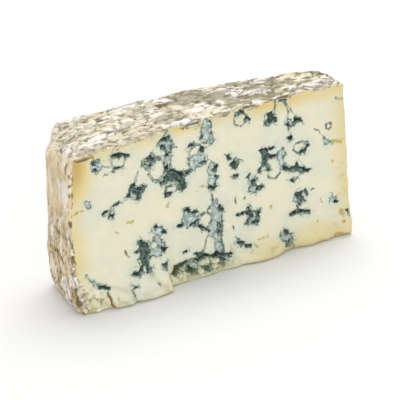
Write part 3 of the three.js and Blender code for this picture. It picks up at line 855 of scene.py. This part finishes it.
# Broken paste: grey-green gaps between the curds, pale crumbs with olive shade at the corner,
# and the crack beside it, which is brown at its foot.
gap_here = add("Math", kept["broken"], kept["curd_gap"], operation="MULTIPLY")
gap_here = add("Math", gap_here, ragged, operation="ADD")
gap_here = add("MapRange", gap_here, 0.3, 0.9, 0.0, 0.8, **SOFTLY)
gap_here = add("Math", gap_here, kept["broken"], operation="MULTIPLY")
veined = add("Mix", gap_here, veined, colour("#57603c"), **COLOURS)
flaked = add("MapRange", mottle["patchy"], 0.5, 0.6, 0.0, 0.75, **SOFTLY)
veined = add("Mix", add("Math", kept["corner_crumbs"], flaked, operation="MULTIPLY"),
             veined, colour("#f2eddb"), **COLOURS)
shaded = add("MapRange", mottle["curds"], 0.52, 0.62, 0.0, 0.6, **SOFTLY)
veined = add("Mix", add("Math", kept["corner_crumbs"], shaded, operation="MULTIPLY"),
             veined, colour("#a3a06f"), **COLOURS)
crack_colour = add("Mix", add("MapRange", kept["up_share"], 0.03, 0.1),
                   colour("#a8692a"), colour("#3f3a22"), **COLOURS)
veined = add("Mix", add("MapRange", kept["crack"], 0.2, 0.8), veined, crack_colour, **COLOURS)

# The crust on top: cream plates with grey patches, streaks and threads, and white bloom.
greyer = add("Math", kept["grey"], kept["plain"], operation="SUBTRACT")
greyer = add("MapRange", greyer, -1.0, 1.0, -0.1, 0.1)
toward_nose = add("MapRange", kept["along_share"], 0.25, 0.75, -0.02, 0.09)
whiter = add("MapRange", kept["bloom"], 0.0, 1.0, 0.0, 0.11)
patches = add("Math", greyer, toward_nose, operation="ADD")
patches = add("Math", mottle["top patches"], patches, operation="ADD")
bloom = add("Math", mottle["top bloom"], whiter, operation="ADD")
threads = add("MapRange", mottle["top threads"], 0.35, 0.65, -0.09, 0.09)
darker = add("MapRange", mottle["top threads"], 0.54, 0.64, 0.0, 0.7, **SOFTLY)
plates = add("MapRange", kept["plate"], 0.2, 0.9)
top_crust = add("Mix", plates, colour("#e9e1cb"), colour("#dcd1b8"), **COLOURS)
grey_here = add("Math", patches, threads, operation="ADD")
grey_here = add("MapRange", grey_here, 0.49, 0.58, 0.0, 0.9, **SOFTLY)
grey = add("Mix", add("MapRange", kept["along_share"], 0.3, 0.65),
           colour("#bdb5a2"), colour("#9a927b"), **COLOURS)
top_crust = add("Mix", grey_here, top_crust, grey, **COLOURS)
top_crust = add("Mix", add("MapRange", mottle["top streaks"], 0.55, 0.66, 0.0, 0.6, **SOFTLY),
                top_crust, colour("#9c9279"), **COLOURS)
bloom_here = add("Math", bloom, threads, operation="SUBTRACT")
bloom_here = add("MapRange", bloom_here, 0.55, 0.65, 0.0, 0.75, **SOFTLY)
top_crust = add("Mix", bloom_here, top_crust, colour("#f2edea"), **COLOURS)
top_crust = add("Mix", darker, top_crust, colour("#786e56"), **COLOURS)

# The rind end: tan, smooth above and crumpled below, with upright streaks.
patches = add("Math", mottle["end streaks"], greyer, operation="ADD")
whiter = add("MapRange", kept["bloom"], 0.0, 1.0, -0.03, 0.28)
bloom = add("Math", mottle["end patches"], whiter, operation="ADD")
threads = add("MapRange", mottle["end threads"], 0.35, 0.65, -0.09, 0.09)
darker = add("MapRange", mottle["end threads"], 0.53, 0.64, 0.0, 0.75, **SOFTLY)
crumpling = add("MapRange", kept["crumpled"], 0.0, 1.0, 0.3, 1.0)
darker = add("Math", darker, crumpling, operation="MULTIPLY")
end_crust = add("Mix", plates, colour("#ecdab9"), colour("#dec9a1"), **COLOURS)
grey_here = add("Math", patches, threads, operation="ADD")
grey_here = add("MapRange", grey_here, 0.42, 0.7, 0.0, 0.85, **SOFTLY)
crumpling = add("MapRange", kept["crumpled"], 0.0, 1.0, 0.4, 1.0)
grey_here = add("Math", grey_here, crumpling, operation="MULTIPLY")
end_crust = add("Mix", grey_here, end_crust, colour("#b39b70"), **COLOURS)
bloom = add("Math", kept["crumpled"], 0.05, bloom, operation="MULTIPLY_ADD")
bloom_here = add("Math", bloom, threads, operation="SUBTRACT")
bloom_here = add("MapRange", bloom_here, 0.52, 0.68, 0.0, 0.8, **SOFTLY)
end_crust = add("Mix", bloom_here, end_crust, colour("#f5f0ea"), **COLOURS)
end_crust = add("Mix", darker, end_crust, colour("#7d6d4c"), **COLOURS)

# All of the crust: olive spots, dark creases and flecks, then a dashed dark brown line where it meets
# paste: brown at the rind's edge, and painted shadow under the lip of rind.
crust = add("Mix", kept["upright"], top_crust, end_crust, **COLOURS)
crust = add("Mix", add("MapRange", mottle["patchy"], 0.66, 0.72, 0.0, 0.8, **SOFTLY),
            crust, colour("#8e8346"), **COLOURS)
dashed = add("MapRange", mottle["dashes"], 0.35, 0.6, 0.1, 0.9)
creased = add("Math", kept["crease"], dashed, operation="MULTIPLY")
crust = add("Mix", creased, crust, colour("#665c45"), **COLOURS)
crust = add("Mix", add("MapRange", mottle["flecks"], 0.62, 0.72, 0.0, 0.6, **SOFTLY),
            crust, colour("#857a5c"), **COLOURS)

rind_edge = add("Math", edge, 0.5, kept["rind_mm"], operation="MULTIPLY_ADD")
rind_here = add("MapRange", rind_edge, -0.2, 0.2, **SOFTLY)
surface = add("Mix", rind_here, veined, crust, **COLOURS)
# A dashed dark brown line on the border: partly the rind's brown edge, partly painted shadow under the
# overhanging lip.
lip_shadow_border = add("MapRange", add("Math", rind_edge, operation="ABSOLUTE"), 0.5, 0.05, **SOFTLY)
dashed = add("MapRange", mottle["dashes"], 0.5, 0.6, 0.0, 0.75, **SOFTLY)
lip_shadow_border = add("Math", lip_shadow_border, dashed, operation="MULTIPLY")
surface = add("Mix", lip_shadow_border, surface, colour("#6b5c38"), **COLOURS)
surface = add("Mix", add("MapRange", kept["brown"], 0.3, 1.0, 0.0, 0.85),
              surface, colour("#5e5230"), **COLOURS)

# Moist paste is smoother than dry rind, and the mould in the holes is nearly as dry.
dryness = add("MapRange", rind_here, 0.0, 1.0, 0.5, 0.86)
dryness = add("Math", hole_here, 0.3, dryness, operation="MULTIPLY_ADD")
furry = add("Math", mould_here, hole_here, operation="MAXIMUM")
rough_here = add("Math", rind_here, furry, operation="MAXIMUM")
grainy = add("MapRange", rough_here, 0.0, 1.0, 0.25, 1.0)
grain = add("Math", mottle["fine"], grainy, operation="MULTIPLY")
bump = add("Bump", Strength=0.5, Distance=0.6 * MM, Height=grain)

shader = add(
    "BsdfPrincipled",
    Base_Color=surface,
    Roughness=dryness,
    Normal=bump,
    IOR=1.44,
    Specular_IOR_Level=0.4,
    Subsurface_Weight=0.25,
    Subsurface_Radius=(1.0, 0.75, 0.45),
    Subsurface_Scale=2 * MM,
)
add("OutputMaterial", shader)
cheese.data.materials.clear()
cheese.data.materials.append(finish)


# ------------------------------------------------------------------ floor, light, camera
# A plain white sweep of paper, lit by a large softbox overhead and a wide fill in front. A
# long lens looks down on the rind end and the long cut, turned a little clockwise.

bpy.ops.object.select_all(action="DESELECT")
bpy.ops.mesh.primitive_plane_add(size=12, location=(0, 0, cad_low.z))
floor = bpy.context.object
floor.name = "floor"
paper = bpy.data.materials.new("white_paper")
paper.use_nodes = True
paper.node_tree.nodes["Principled BSDF"].inputs["Base Color"].default_value = colour("#ebebea")
paper.node_tree.nodes["Principled BSDF"].inputs["Roughness"].default_value = 0.9
floor.data.materials.append(paper)

ROOM_LIGHT = 0.75
world = bpy.data.worlds.new("white_room")
world.use_nodes = True
world.node_tree.nodes["Background"].inputs["Color"].default_value = (1, 1, 1, 1)
world.node_tree.nodes["Background"].inputs["Strength"].default_value = ROOM_LIGHT
bpy.context.scene.world = world


def softbox(name, place, aim, size, watts):
    """A square lamp at a place, turned to face what it is aimed at."""
    lamp = bpy.data.lights.new(name, "AREA")
    lamp.size = size
    lamp.energy = watts
    holder = bpy.data.objects.new(name, lamp)
    holder.location = place
    holder.rotation_euler = (Vector(aim) - Vector(place)).to_track_quat("-Z", "Y").to_euler()
    bpy.context.scene.collection.objects.link(holder)


middle = (cad_low + cad_high) / 2
softbox("overhead softbox", (0.28, 0.32, 1.25), middle, size=0.9, watts=9)
softbox("front fill", (-0.45, -1.3, 0.4), middle, size=1.0, watts=5.5)

AZIMUTH = math.radians(-27.6)
ELEVATION = math.radians(24.7)
ROLL = math.radians(-4.1)
DISTANCE = 1.4
LENS_MM = 261.6
SENSOR_MM = 36
MIDDLE_HEIGHT = 0.042

# The wedge stands a little left of the middle of the frame, and above it.
LEFT_OF_MIDDLE = 0.0024
ABOVE_MIDDLE = 0.0078
back = Vector((
    math.sin(AZIMUTH) * math.cos(ELEVATION),
    -math.cos(AZIMUTH) * math.cos(ELEVATION),
    math.sin(ELEVATION),
))
level = Vector((math.cos(AZIMUTH), math.sin(AZIMUTH), 0))
over = back.cross(level)
right = level * math.cos(ROLL) + over * math.sin(ROLL)
above = over * math.cos(ROLL) - level * math.sin(ROLL)
aim = Vector((0, 0, MIDDLE_HEIGHT)) + right * LEFT_OF_MIDDLE - above * ABOVE_MIDDLE
camera_data = bpy.data.cameras.new("camera")
camera_data.lens = LENS_MM
camera_data.sensor_width = SENSOR_MM
camera = bpy.data.objects.new("camera", camera_data)
bpy.context.scene.collection.objects.link(camera)
turned = Matrix((right, above, back)).transposed().to_4x4()
camera.matrix_world = Matrix.Translation(aim + back * DISTANCE) @ turned
bpy.context.scene.camera = camera
bpy.context.scene.view_settings.view_transform = "Standard"
